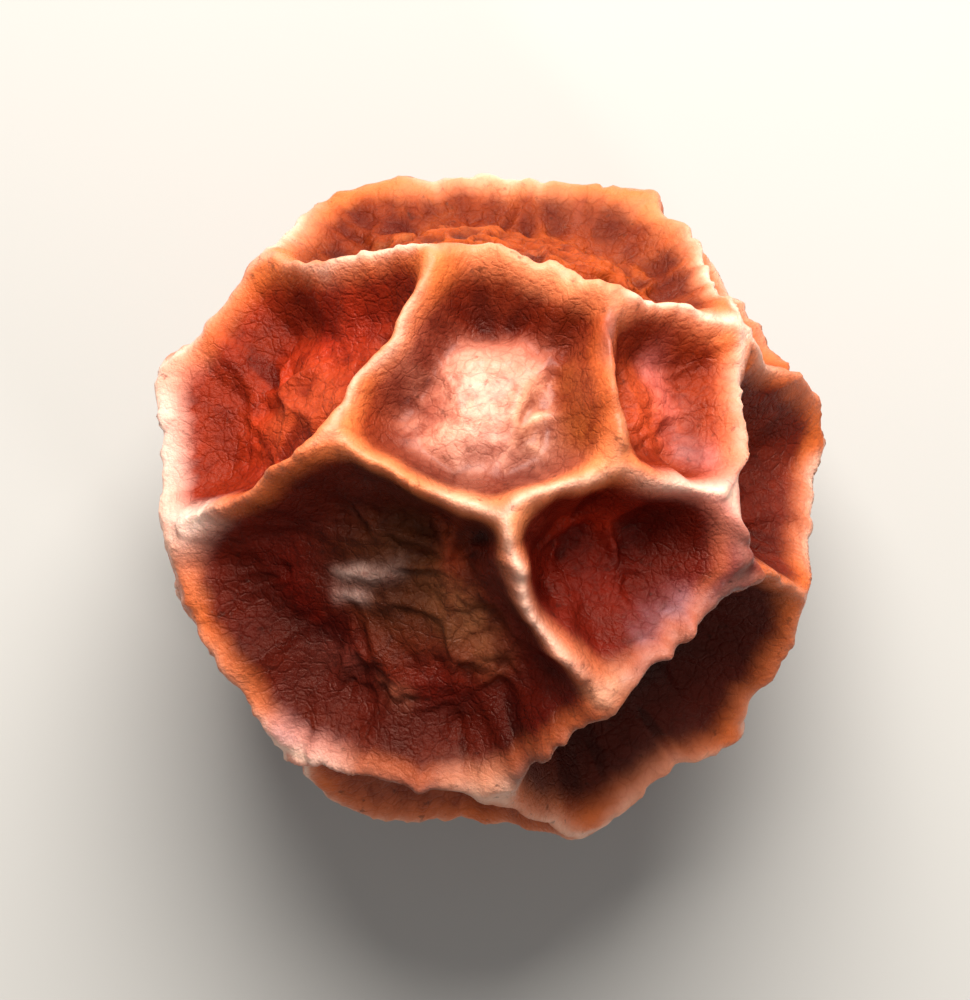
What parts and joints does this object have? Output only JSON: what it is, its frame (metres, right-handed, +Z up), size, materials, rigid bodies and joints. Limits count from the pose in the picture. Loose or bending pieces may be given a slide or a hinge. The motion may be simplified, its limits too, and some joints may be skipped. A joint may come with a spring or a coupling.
{
  "type": "red peppercorn",
  "caption": "Dried ripe pepper berry: a near-round grain with a shrunken, reddish brown skin that stands in a net of ridges round deep hollows, resting on a small flat spot.",
  "frame": {"origin": "middle of the flat spot that the peppercorn rests on", "axes": "+Z up, away from the surface that it rests on; +Y towards the pale crown band and +X towards the side right of the deep pit, seen from above"},
  "size_m": [0.0051, 0.0051, 0.0048],
  "materials": {
    "dried_skin": "satin dried fruit skin, red-orange to dark brown in the hollows and paler along the ridges"
  },
  "bodies": {
    "root": {"peppercorn": "dried_skin"}
  },
  "joints": []
}
